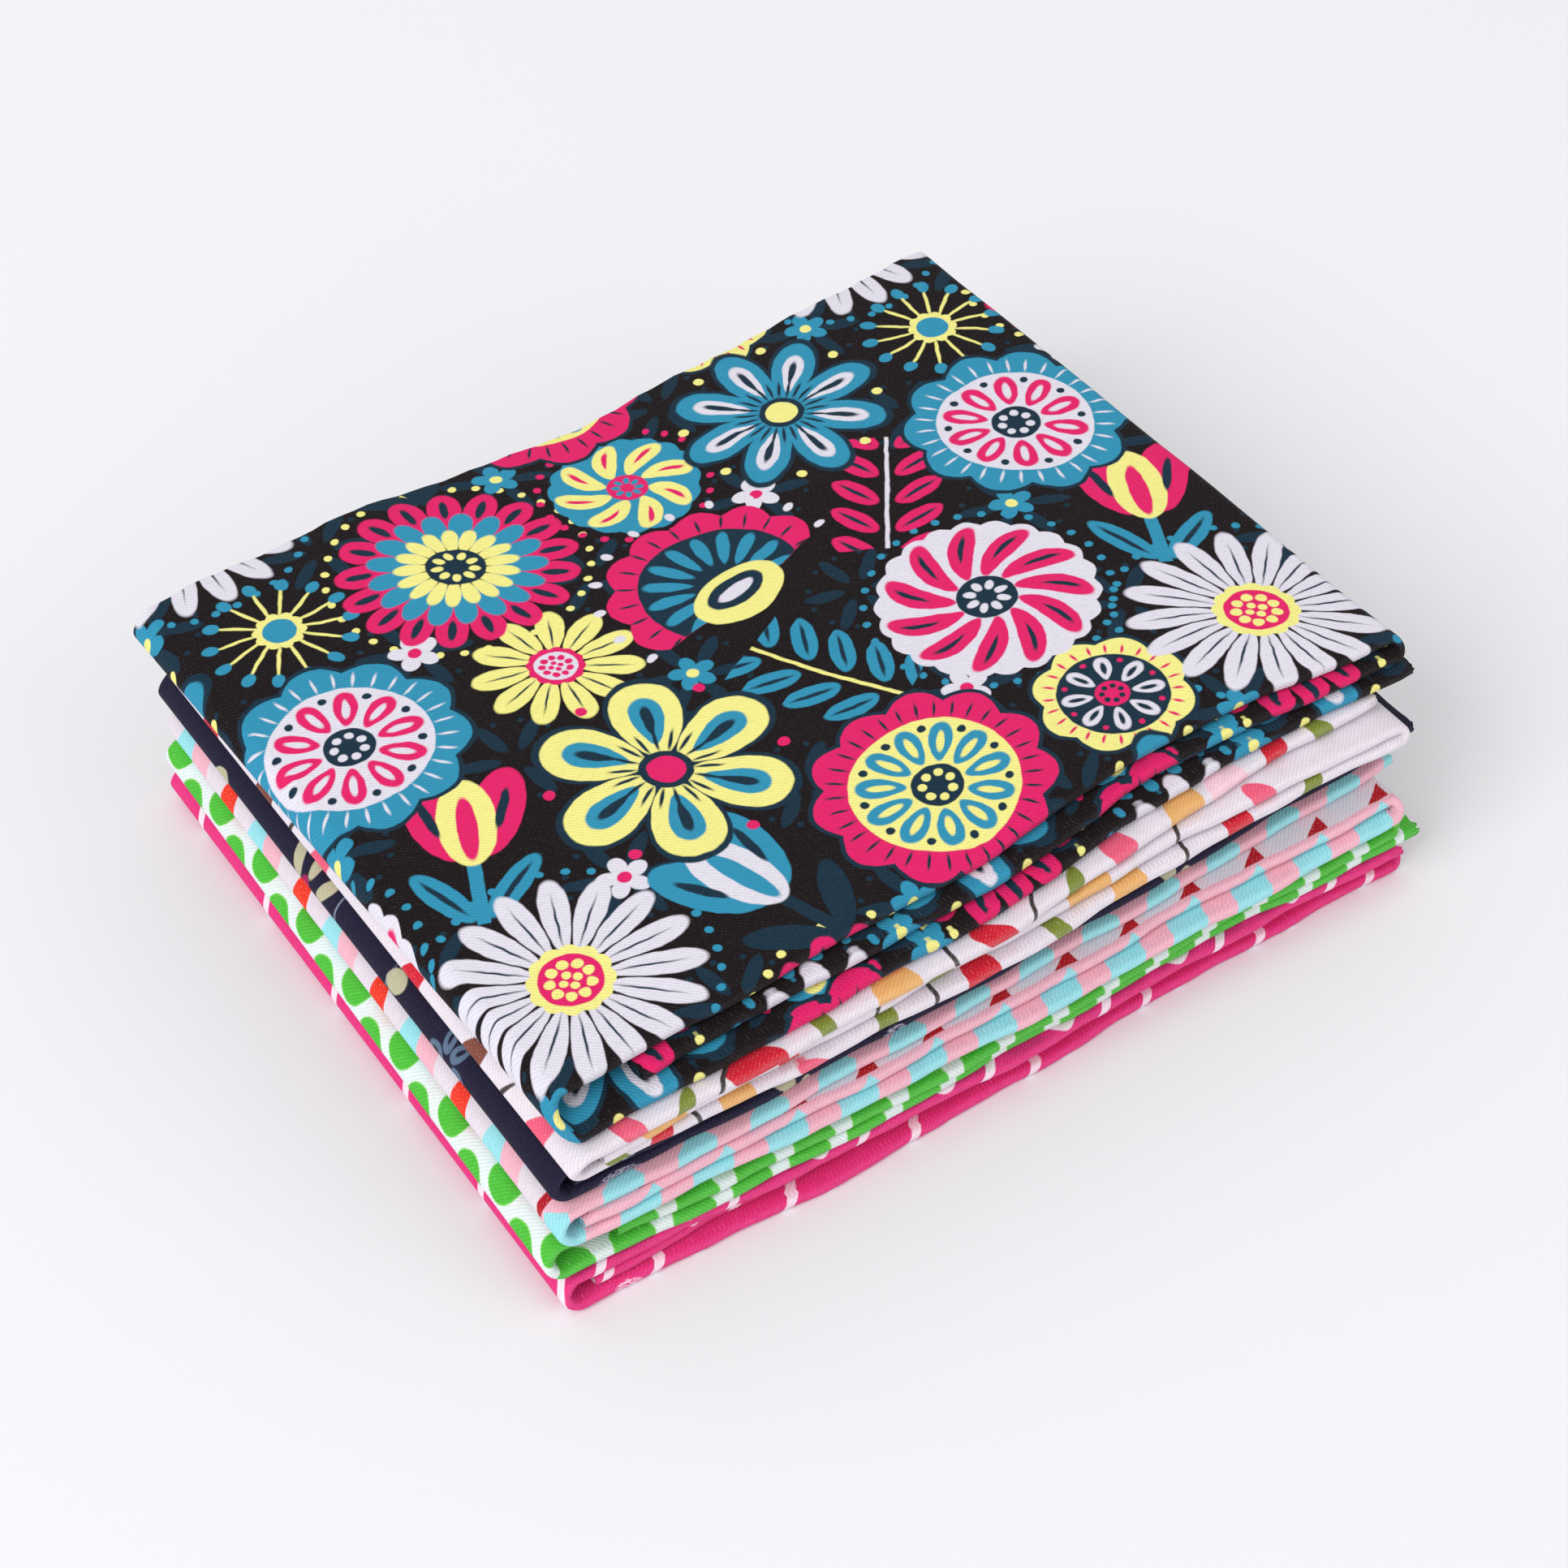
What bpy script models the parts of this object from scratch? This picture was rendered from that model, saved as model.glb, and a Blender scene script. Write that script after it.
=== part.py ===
"""Bundle of six folded fat quarters of printed cotton, one on top of another.

Each fat quarter is one solid: a cut of cloth doubled along its length, so that its fold lies at the
front, and then turned in thirds round its left end. Seen from the front it shows three fat loops.
Seen from the left it shows one smooth turn. Lengths are in millimetres until a vertex is placed.
"""

import math
from collections import namedtuple

import bmesh
import bpy

MM = 0.001

# The cloth and its folds
SHEET = 1.0  # one sheet: two layers of cotton lying on each other
FOLD_RADIUS = 0.64  # of the sheet's middle, in the fold at the front
PITCH = 2.58  # from one third of a folded cut to the next
STRIP = 2 * FOLD_RADIUS + SHEET  # height of the doubled sheet
CUT_PITCH = 3 * PITCH  # from one fat quarter to the next

# The footprint: x runs along the front, y from the front to the back
LENGTH = 170.0
DEPTH = 136.0
MIDDLE_X = 84.3  # the middle of the whole bundle, which becomes the origin
MIDDLE_Y = 64.75

# The lie of the bundle
CROWN = 0.7  # how far the middle of the top stands above its rim
LOOSE = 0.5  # how far the right end stands above the left one
WAVE = 0.3  # slow rise and fall of the layers half way up

# How finely each stretch is divided
RUN_STEPS = 8
WRAP_STEPS = 8
TURN_STEPS = 6
FOLD_STEPS = 6
FLAT_SHARES = (1.0, 0.66, 0.33, 0.06)  # of the way from the front fold to the back edge
BACK_STAGGER = 1.4  # between the two raw edges of a doubled sheet

# Where a third's front fold lies, in y, at five places from the left corner to the right end
Front = namedtuple("Front", "corner near middle far end")

# One cut: `lead` names the third whose free end is at the right. `pocket` is the hollow left in the
# round end. `lead_tip` and `turn_tip` are the right ends, `left` and `right_skew` the side edges.
Cut = namedtuple("Cut", "lead pocket lead_tip turn_tip left left_skew right_skew back top middle bottom")

CUTS = {
    "quarter_1_dark_floral": Cut(
        lead="bottom", pocket=13.0, lead_tip=173.0, turn_tip=173.5,
        left=0.0, left_skew=-0.5, right_skew=-3.0, back=(137.0, 137.3, 132.8, 134.8, 136.8),
        top=Front(7.3, 7.3, 7.9, 11.0, 6.2),
        middle=Front(4.6, 4.7, 4.2, 8.0, 3.7),
        bottom=Front(2.0, 1.0, 1.3, 4.7, 2.6),
    ),
    "quarter_2_white_floral": Cut(
        lead="top", pocket=5.0, lead_tip=164.8, turn_tip=167.6,
        left=-0.3, left_skew=2.8, right_skew=0.0, back=(135.5, 136.2, 136.0, 135.4, 135.0),
        top=Front(-0.6, -1.4, -1.8, 1.8, 2.1),
        middle=Front(0.2, -0.4, -1.1, -1.0, -3.9),
        bottom=Front(0.8, -1.8, -3.6, -2.5, -4.3),
    ),
    "quarter_3_navy": Cut(
        lead="top", pocket=5.0, lead_tip=169.8, turn_tip=168.0,
        left=-1.8, left_skew=3.6, right_skew=1.0, back=(136.5, 135.4, 135.0, 136.4, 137.0),
        top=Front(4.2, 3.0, 2.5, 2.5, -1.5),
        middle=Front(4.0, 2.2, 1.5, 1.5, 0.0),
        bottom=Front(3.6, 1.7, 0.9, 1.0, 1.5),
    ),
    "quarter_4_pink_aqua": Cut(
        lead="top", pocket=6.0, lead_tip=169.3, turn_tip=167.0,
        left=-2.6, left_skew=4.4, right_skew=0.0, back=(135.0, 136.6, 137.0, 135.8, 136.0),
        top=Front(1.6, -0.1, -0.5, -0.5, -0.1),
        middle=Front(1.4, -1.3, -3.0, -3.6, -6.2),
        bottom=Front(0.8, -2.7, -5.4, -6.7, -8.1),
    ),
    "quarter_5_green_dots": Cut(
        lead="bottom", pocket=10.0, lead_tip=171.0, turn_tip=167.6,
        left=-4.9, left_skew=5.6, right_skew=-3.0, back=(136.0, 134.8, 135.4, 136.6, 136.2),
        top=Front(2.6, 0.0, -2.0, -3.0, -5.0),
        middle=Front(2.4, -1.8, -4.3, -4.5, -7.2),
        bottom=Front(1.4, -2.3, -3.5, -4.2, -7.1),
    ),
    "quarter_6_hot_pink": Cut(
        lead="top", pocket=9.0, lead_tip=167.6, turn_tip=170.0,
        left=-3.2, left_skew=4.2, right_skew=-0.5, back=(136.8, 136.2, 135.2, 136.0, 134.8),
        top=Front(1.0, -2.2, -4.7, -5.0, -7.4),
        middle=Front(0.6, -2.5, -4.3, -4.4, -6.6),
        bottom=Front(0.0, -3.4, -3.6, -3.8, -5.8),
    ),
}

# The main colour of each print, and how matt the cotton is
Finish = namedtuple("Finish", "color roughness")
FINISHES = {
    "quarter_1_dark_floral": Finish((0.016, 0.010, 0.011), 0.85),
    "quarter_2_white_floral": Finish((0.84, 0.74, 0.78), 0.88),
    "quarter_3_navy": Finish((0.012, 0.010, 0.030), 0.85),
    "quarter_4_pink_aqua": Finish((0.88, 0.46, 0.54), 0.88),
    "quarter_5_green_dots": Finish((0.82, 0.86, 0.88), 0.88),
    "quarter_6_hot_pink": Finish((0.76, 0.045, 0.235), 0.86),
}

# One place on the way of the strip: where its middle is, which way it faces, where its edges are
Station = namedtuple("Station", "x z face_x face_z front")


def clear_scene():
    for old in list(bpy.data.objects):
        bpy.data.objects.remove(old, do_unlink=True)


def blend(start, stop, share):
    return start + (stop - start) * share


def eased(values, share):
    """A smooth curve through evenly spaced values, read at a share of the way along."""
    last = len(values) - 1
    place = min(max(share, 0.0), 1.0) * last
    i = min(int(place), last - 1)
    t = place - i
    before = values[max(i - 1, 0)]
    after = values[min(i + 2, last)]
    slope_in = (values[i + 1] - before) / 2
    slope_out = (after - values[i]) / 2
    rise = values[i + 1] - values[i]
    bend = 3 * rise - 2 * slope_in - slope_out
    twist = slope_in + slope_out - 2 * rise
    return values[i] + t * (slope_in + t * (bend + t * twist))


def strip_stations(cut):
    """The way of the doubled sheet: along one third, round the left end, back, and in between them."""
    side = 1 if cut.lead == "top" else -1
    lead = cut.top if side > 0 else cut.bottom
    far = cut.bottom if side > 0 else cut.top
    wrap_x = cut.left + STRIP / 2 + PITCH
    turn_x = cut.turn_tip - STRIP / 2 - PITCH / 2
    stations = []

    def run(front, z, face_z, start, stop):
        for i in range(1, RUN_STEPS):
            x = blend(start, stop, i / RUN_STEPS)
            stations.append(Station(x, z, 0.0, face_z, eased(front, x / LENGTH)))

    stations.append(Station(cut.lead_tip, side * PITCH, 0.0, side, eased(lead, 1.0)))
    run(lead, side * PITCH, side, cut.lead_tip, wrap_x)
    for i in range(WRAP_STEPS + 1):
        angle = math.pi * i / WRAP_STEPS
        share = (1 - math.cos(angle)) / 2
        stations.append(
            Station(
                wrap_x - PITCH * math.sin(angle),
                side * PITCH * math.cos(angle),
                -math.sin(angle),
                side * math.cos(angle),
                blend(eased(lead, wrap_x / LENGTH), eased(far, wrap_x / LENGTH), share),
            )
        )
    run(far, -side * PITCH, -side, wrap_x, turn_x)
    for i in range(TURN_STEPS + 1):
        angle = math.pi * i / TURN_STEPS
        share = (1 - math.cos(angle)) / 2
        stations.append(
            Station(
                turn_x + PITCH / 2 * math.sin(angle),
                -side * PITCH / 2 * (1 + math.cos(angle)),
                math.sin(angle),
                -side * math.cos(angle),
                blend(eased(far, turn_x / LENGTH), eased(cut.middle, turn_x / LENGTH), share),
            )
        )
    run(cut.middle, 0.0, side, turn_x, wrap_x + cut.pocket)
    stations.append(Station(wrap_x + cut.pocket, 0.0, 0.0, side, eased(cut.middle, (wrap_x + cut.pocket) / LENGTH)))
    return stations


def section_points():
    """The doubled sheet's middle line: (millimetres behind the front, share of the way back, height)."""
    fold_depth = SHEET / 2 + FOLD_RADIUS
    lower = [(fold_depth, share, -FOLD_RADIUS) for share in FLAT_SHARES]
    fold = []
    for i in range(FOLD_STEPS + 1):
        angle = math.pi * i / FOLD_STEPS
        fold.append((fold_depth - FOLD_RADIUS * math.sin(angle), 0.0, -FOLD_RADIUS * math.cos(angle)))
    upper = [(fold_depth, share, FOLD_RADIUS) for share in reversed(FLAT_SHARES)]
    return lower + fold + upper


def lift(x, y, z):
    """How the bundle lies: crowned on top, looser at the right end, and flat underneath."""
    height = max(z - SHEET, 0.0) / (len(CUTS) * CUT_PITCH)
    along = min(max(x / LENGTH, 0.0), 1.0)
    across = min(max(y / DEPTH, 0.0), 1.0)
    crown = CROWN * math.sin(math.pi * along) * math.sin(math.pi * across)
    wave = WAVE * math.sin(2 * math.pi * along) * math.sin(math.pi * height)
    return z + (crown + LOOSE * along * along) * height + wave


def place(cut, base, station, depth, share, height):
    """A point of the section, carried to its station and into the bundle."""
    x = station.x + station.face_x * height
    z = base + STRIP / 2 + PITCH + station.z + station.face_z * height
    stagger = BACK_STAGGER * share * (height > 0)
    back = eased(cut.back, x / LENGTH) - stagger
    y = blend(station.front + depth, back, share)
    along = min(max(x / LENGTH, 0.0), 1.0)
    skew = blend(cut.left_skew, cut.right_skew, along) * y / DEPTH
    return ((x + skew - MIDDLE_X) * MM, (y - MIDDLE_Y) * MM, lift(x, y, z) * MM)


def cotton(name, finish):
    material = bpy.data.materials.new(name + "_cotton")
    material.use_nodes = True
    shader = material.node_tree.nodes["Principled BSDF"]
    shader.inputs["Base Color"].default_value = (*finish.color, 1.0)
    shader.inputs["Roughness"].default_value = finish.roughness
    shader.inputs["Metallic"].default_value = 0.0
    material.diffuse_color = (*finish.color, 1.0)
    return material


def folded_cut(name, cut, base):
    """A flat grid of cloth, laid on its folds and given its thickness."""
    stations = strip_stations(cut)
    section = section_points()
    grid = bmesh.new()
    bmesh.ops.create_grid(grid, x_segments=len(stations) - 1, y_segments=len(section) - 1, size=1.0)
    for vert in grid.verts:
        i = round((vert.co.x + 1) / 2 * (len(stations) - 1))
        j = round((vert.co.y + 1) / 2 * (len(section) - 1))
        vert.co = place(cut, base, stations[i], *section[j])
    mesh = bpy.data.meshes.new(name)
    grid.to_mesh(mesh)
    grid.free()
    mesh.shade_smooth()
    mesh.set_sharp_from_angle(angle=math.radians(50))
    mesh.materials.append(cotton(name, FINISHES[name]))
    piece = bpy.data.objects.new(name, mesh)
    bpy.context.scene.collection.objects.link(piece)
    thickness = piece.modifiers.new("Sheet", "SOLIDIFY")
    thickness.thickness = SHEET * MM
    thickness.offset = 0.0
    thickness.use_even_offset = True
    return piece


def build_bundle():
    clear_scene()
    for order, (name, cut) in enumerate(reversed(CUTS.items())):
        folded_cut(name, cut, order * CUT_PITCH)


build_bundle()
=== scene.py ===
# Fat quarter bundle: six folded cuts of printed cotton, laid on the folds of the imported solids.
# Lengths are millimetres in the dictionaries, and become metres when a point is placed.
import math
import random

import bmesh
import bpy
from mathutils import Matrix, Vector


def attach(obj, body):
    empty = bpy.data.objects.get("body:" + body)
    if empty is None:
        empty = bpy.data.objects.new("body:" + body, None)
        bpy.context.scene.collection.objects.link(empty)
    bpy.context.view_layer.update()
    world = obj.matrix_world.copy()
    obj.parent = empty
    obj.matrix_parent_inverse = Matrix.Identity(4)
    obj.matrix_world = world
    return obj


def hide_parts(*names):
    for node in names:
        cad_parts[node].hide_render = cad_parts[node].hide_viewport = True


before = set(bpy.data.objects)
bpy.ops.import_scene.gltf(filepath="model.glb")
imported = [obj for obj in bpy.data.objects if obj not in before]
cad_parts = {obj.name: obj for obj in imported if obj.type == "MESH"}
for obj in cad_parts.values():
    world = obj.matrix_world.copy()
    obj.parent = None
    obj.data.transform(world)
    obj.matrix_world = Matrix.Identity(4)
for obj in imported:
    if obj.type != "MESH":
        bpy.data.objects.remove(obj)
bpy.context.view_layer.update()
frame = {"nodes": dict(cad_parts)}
print("frame loaded:", ", ".join(frame["nodes"]))

mm = 0.001


# Camera, at the photograph's place
photoView = {"place": (-0.24235, -0.33967, 0.46223), "down": 47.1, "heading": 54.3, "lens": 80.16}


def aimCamera(view):
    down = math.radians(view["down"])
    heading = math.radians(view["heading"])
    ahead = Vector((math.cos(heading) * math.cos(down), math.sin(heading) * math.cos(down), -math.sin(down)))
    camera = bpy.data.objects.new("photo_camera", bpy.data.cameras.new("photo_camera"))
    camera.data.lens = view["lens"]
    camera.data.sensor_width = 36
    camera.data.clip_start = 0.01
    camera.location = view["place"]
    camera.rotation_euler = ahead.to_track_quat("-Z", "Y").to_euler()
    bpy.context.scene.collection.objects.link(camera)
    bpy.context.scene.camera = camera


aimCamera(photoView)
print("camera placed")


# How the bundle lies: x runs along the front, y from the front to the back
bundle = {
    "cuts": 6, "length": 170.0, "depth": 136.0, "middleX": 84.3, "middleY": 64.75,
    "sheet": 1.0, "strip": 2.28, "pitch": 2.58,
    "crown": 0.7, "loose": 0.5, "wave": 0.3, "stagger": 1.4,
}

# One layer of cotton, and where the four layers of a doubled sheet lie around its middle
layers = {"thickness": 0.34, "outer": 0.94, "inner": 0.45, "tuck": 1.4, "innerTrim": 2.2}

# How folds lie: a power under 1 gives a flatter nose and one over 1 a sharper one; ends are pressed thinner
pressed = {"frontPower": 0.80, "endPower": 1.22, "ends": 0.76, "reach": 5.0}

# How finely each stretch of a cut is divided
steps = {"run": 60, "wrap": 18, "turn": 14, "loop": 12, "backFold": 6, "flat": 20, "crowding": 1.7}

# Small unevenness, as (size, length of one wave)
uneven = {
    "front": ((0.26, 43.0), (0.17, 24.0), (0.08, 11.0)),
    "back": ((0.35, 31.0), (0.16, 9.0)),
    "height": ((0.05, 37.0), (0.03, 16.0)),
    "top": ((0.16, 52.0), (0.09, 27.0)),
    "rawEdge": 0.22,
}

# Soft creases along the top: from (x, y) to (x, y), depth and half width; a negative depth is a ridge
creases = (
    ((58.0, 8.5), (116.0, 9.5), 0.55, 2.0), ((70.0, 12.8), (124.0, 15.4), -0.40, 2.3),
    ((104.0, 14.5), (164.0, 11.0), 0.60, 2.3), ((126.0, 20.0), (166.0, 17.0), -0.36, 2.8),
    ((6.0, 34.0), (30.0, 9.0), 0.34, 3.6), ((2.0, 120.0), (22.0, 131.0), 0.60, 3.4),
    ((60.0, 128.0), (112.0, 121.0), 0.50, 4.0), ((124.0, 118.0), (168.0, 104.0), -0.30, 4.5),
)


def eased(values, share):
    # a smooth curve through evenly spaced values, read at a share of the way along
    last = len(values) - 1
    place = min(max(share, 0.0), 1.0) * last
    i = min(int(place), last - 1)
    t = place - i
    slopeIn = (values[i + 1] - values[max(i - 1, 0)]) / 2
    slopeOut = (values[min(i + 2, last)] - values[i]) / 2
    rise = values[i + 1] - values[i]
    bend = 3 * rise - 2 * slopeIn - slopeOut
    twist = slopeIn + slopeOut - 2 * rise
    return values[i] + t * (slopeIn + t * (bend + t * twist))


def blend(start, stop, share):
    return start + (stop - start) * share


def ripple(seed, waves):
    # a slow wandering line, the same for the same seed
    draw = random.Random(seed)
    terms = [(size, 2 * math.pi / length, draw.uniform(0, 2 * math.pi)) for size, length in waves]
    return lambda x: sum(size * math.sin(rate * x + phase) for size, rate, phase in terms)


def roundOff(angle, power):
    # sine and cosine of a half turn, drawn towards a flatter or a sharper fold
    sine, cosine = math.sin(angle), math.cos(angle)
    return math.copysign(abs(sine) ** power, sine), math.copysign(abs(cosine) ** power, cosine)


def wayOfStrip(cut, name):
    # the doubled sheet's way: along one third, round the left end, back, and in between them
    side = 1 if cut["lead"] == "top" else -1
    lead = cut["top"] if side > 0 else cut["bottom"]
    far = cut["bottom"] if side > 0 else cut["top"]
    pitch = bundle["pitch"]
    wrapX = cut["left"] + bundle["strip"] / 2 + pitch
    turnX = cut["turnTip"] - bundle["strip"] / 2 - pitch / 2
    length = bundle["length"]
    turned = math.pi / steps["wrap"]
    drift = {key: ripple(f"{name} {key} front", uneven["front"]) for key in ("lead", "middle", "far")}
    slip = cut.get("slip", {"lead": 0.0, "far": 0.0, "middle": 0.0})
    droop = cut.get("droop", 0.0)
    stations = []

    def front(key, values, x):
        return eased(values, x / length) + drift[key](x)

    def stop(key, x, z, faceX, faceZ, y, slipped):
        if stations:
            before = stations[-1]
            u = before["u"] + math.hypot(x - before["x"], z - before["z"])
            u += cut.get("roundEnd", 0.0) * turned if key == "wrap" and before["faceX"] != faceX else 0.0
        else:
            u = 0.0
        fromEnd = min(max(x - wrapX, 0.0), max(turnX - x, 0.0)) if key != "lead" else max(x - wrapX, 0.0)
        press = 1 - (1 - pressed["ends"]) * math.exp(-((fromEnd / pressed["reach"]) ** 2))
        stations.append({
            "x": x, "z": z, "faceX": faceX, "faceZ": faceZ, "front": y, "u": u, "slip": slipped, "press": press,
        })

    def run(key, values, z, faceZ, start, end, first, last):
        for i in range(first, last):
            x = blend(start, end, i / steps["run"])
            sunk = droop * math.exp(-(turnX - x) / pressed["reach"]) if key == "middle" else 0.0
            stop(key, x, z - sunk, 0.0, faceZ, front(key, values, x), slip[key])

    run("lead", lead, side * pitch, side, cut["leadTip"], wrapX, 0, steps["run"])
    for i in range(steps["wrap"] + 1):
        angle = math.pi * i / steps["wrap"]
        share = (1 - math.cos(angle)) / 2
        y = blend(front("lead", lead, wrapX), front("far", far, wrapX), share)
        away, height = roundOff(angle, pressed["endPower"])
        stop(
            "wrap", wrapX - pitch * away, side * pitch * height,
            -math.sin(angle), side * math.cos(angle), y, blend(slip["lead"], slip["far"], share),
        )
    run("far", far, -side * pitch, -side, wrapX, turnX, 1, steps["run"])
    for i in range(steps["turn"] + 1):
        angle = math.pi * i / steps["turn"]
        share = (1 - math.cos(angle)) / 2
        y = blend(front("far", far, turnX), front("middle", cut["middle"], turnX), share)
        away, height = roundOff(angle, pressed["endPower"])
        stop(
            "turn", turnX + pitch / 2 * away, -side * pitch / 2 * (1 + height) - droop * share ** 0.6,
            math.sin(angle), -side * math.cos(angle), y, blend(slip["far"], slip["middle"], share),
        )
    run("middle", cut["middle"], 0.0, side, turnX, wrapX + cut["pocket"], 1, steps["run"] + 1)
    return stations


def sectionOfSheet():
    # the four layers from the lower raw edge to the inner one: depth behind the front, share of
    # the way back, height, way along the cloth, trim at the back, and how worn the fold is
    outer, inner = layers["outer"], layers["inner"]
    outerDepth = layers["thickness"] / 2 + outer
    innerDepth = outerDepth + layers["tuck"] - outer + inner
    reach = bundle["depth"] - outerDepth
    shares = [(i / steps["flat"]) ** steps["crowding"] for i in range(1, steps["flat"] + 1)]
    points = []

    def point(depth, share, height, trim, wear, step):
        v = points[-1]["v"] + step if points else 0.0
        points.append({"depth": depth, "share": share, "height": height, "trim": trim, "wear": wear, "v": v})

    def flat(depth, height, trim, backwards):
        way = list(reversed(shares)) if backwards else shares
        for i, share in enumerate(way):
            before = (way[i - 1] if i else (0.0 if not backwards else way[0]))
            point(depth, share, height, trim, 0.0, abs(share - before) * reach)

    def loop(depth, radius, side, wearing):
        for i in range(steps["loop"] + 1):
            angle = math.pi * i / steps["loop"]
            away, up = roundOff(angle, pressed["frontPower"])
            at, height = depth - radius * away, -side * radius * up
            arc = math.hypot(at - points[-1]["depth"], height - points[-1]["height"]) if i else 0.0
            point(at, 0.0, height, 0.0, wearing * math.sin(angle) ** 2, arc)

    flat(outerDepth, -outer, 0.0, True)
    loop(outerDepth, outer, 1, 1.0)
    flat(outerDepth, outer, bundle["stagger"], False)
    radius = (outer - inner) / 2
    for i in range(1, steps["backFold"]):
        angle = math.pi * i / steps["backFold"]
        height = (outer + inner) / 2 + radius * math.cos(angle)
        trim = bundle["stagger"] - radius * math.sin(angle)
        point(outerDepth, 1.0, height, trim, math.sin(angle) ** 2, math.pi * radius / steps["backFold"])
    flat(innerDepth, inner, bundle["stagger"], True)
    loop(innerDepth, inner, -1, 0.0)
    flat(innerDepth, -inner, layers["innerTrim"], False)
    return points


def creased(x, y):
    # how deep the creases are at a place, fading out towards both ends of each
    depth = 0.0
    for (startX, startY), (endX, endY), most, half in creases:
        runX, runY = endX - startX, endY - startY
        length = math.hypot(runX, runY)
        along = ((x - startX) * runX + (y - startY) * runY) / length ** 2
        if 0.0 < along < 1.0:
            across = ((x - startX) * runY - (y - startY) * runX) / length
            depth += most * math.sin(math.pi * along) * math.exp(-((across / half) ** 2))
    return depth


def lieOfBundle(x, y, z, swell):
    # crowned on top, looser at the right end, softly waved, and flat underneath
    height = max(z - bundle["sheet"], 0.0) / (bundle["cuts"] * 3 * bundle["pitch"])
    along = min(max(x / bundle["length"], 0.0), 1.0)
    across = min(max(y / bundle["depth"], 0.0), 1.0)
    crown = bundle["crown"] * math.sin(math.pi * along) * math.sin(math.pi * across)
    wave = bundle["wave"] * math.sin(2 * math.pi * along) * math.sin(math.pi * height)
    softness = (swell[0](x + 0.35 * y) + swell[1](y - 0.2 * x) - creased(x, y)) * height ** 3
    return z + (crown + bundle["loose"] * along * along) * height + wave + softness


swell = (ripple("swell across", uneven["top"]), ripple("swell along", uneven["top"]))


def placeOnFolds(cut, station, spot, backDrift, heightDrift):
    rise = spot["height"] * station["press"] * (1 + heightDrift(station["u"]) / layers["outer"])
    x = station["x"] + station["faceX"] * rise
    z = cut["base"] + bundle["strip"] / 2 + bundle["pitch"] + station["z"] + station["faceZ"] * rise
    back = eased(cut["back"], x / bundle["length"]) - spot["trim"] * spot["share"] + backDrift(x)
    y = blend(station["front"] + spot["depth"], back, spot["share"])
    along = min(max(x / bundle["length"], 0.0), 1.0)
    skew = blend(cut["leftSkew"], cut["rightSkew"], along) * y / bundle["depth"]
    return Vector((x + skew - bundle["middleX"], y - bundle["middleY"], lieOfBundle(x, y, z, swell)))


def foldCut(name, cut, material):
    # a flat grid of cloth, laid on its folds and given its thickness
    stations = wayOfStrip(cut, name)
    section = sectionOfSheet()
    backDrift = ripple(name + " back", uneven["back"])
    heightDrift = ripple(name + " height", uneven["height"])
    draw = random.Random(name + " raw edge")
    fray = [draw.uniform(-1, 1) * cut.get("fray", uneven["rawEdge"]) for _ in section]
    grid = bmesh.new()
    across, along = len(stations) - 1, len(section) - 1
    bmesh.ops.create_grid(grid, x_segments=across, y_segments=along, size=1.0)
    wear = grid.verts.layers.float.new("foldWear")
    places = {}
    for vert in grid.verts:
        i = round((vert.co.x + 1) / 2 * across)
        j = round((vert.co.y + 1) / 2 * along)
        spot = placeOnFolds(cut, stations[i], section[j], backDrift, heightDrift)
        if i == 0:
            spot.x += fray[j]
        vert.co = spot * mm
        vert[wear] = section[j]["wear"]
        places[vert] = (stations[i]["u"] * mm, (section[j]["v"] + stations[i]["slip"]) * mm)
    flatCloth = grid.loops.layers.uv.new("flatCloth")
    for face in grid.faces:
        for corner in face.loops:
            corner[flatCloth].uv = places[corner.vert]
    mesh = bpy.data.meshes.new(name + "_cloth")
    grid.to_mesh(mesh)
    grid.free()
    mesh.shade_smooth()
    mesh.materials.append(material)
    piece = bpy.data.objects.new(name + "_cloth", mesh)
    bpy.context.scene.collection.objects.link(piece)
    body = piece.modifiers.new("clothThickness", "SOLIDIFY")
    body.thickness = layers["thickness"] * mm
    body.offset = 0.0
    return piece


def alongCut(cut, third, x):
    # the way along the cloth, from its free end, to a place on one of its thirds
    pitch = bundle["pitch"]
    wrapX = cut["left"] + bundle["strip"] / 2 + pitch
    turnX = cut["turnTip"] - bundle["strip"] / 2 - pitch / 2
    if third == cut["lead"]:
        return cut["leadTip"] - x
    wrapped = cut["leadTip"] - wrapX + math.pi * (pitch + cut.get("roundEnd", 0.0))
    if third != "middle":
        return wrapped + x - wrapX
    return wrapped + turnX - wrapX + math.pi * pitch / 2 + turnX - x


foldLine = sectionOfSheet()[steps["flat"] + steps["loop"] // 2]["v"]  # way along the cloth to the front fold


# Printing: each screen lays one ink on the cloth, in the order in which it is worked out
def ink(red, green, blue):
    linear = [((value / 255 + 0.055) / 1.055) ** 2.4 if value > 10 else value / 255 / 12.92 for value in (red, green, blue)]
    return (*linear, 1.0)


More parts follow.
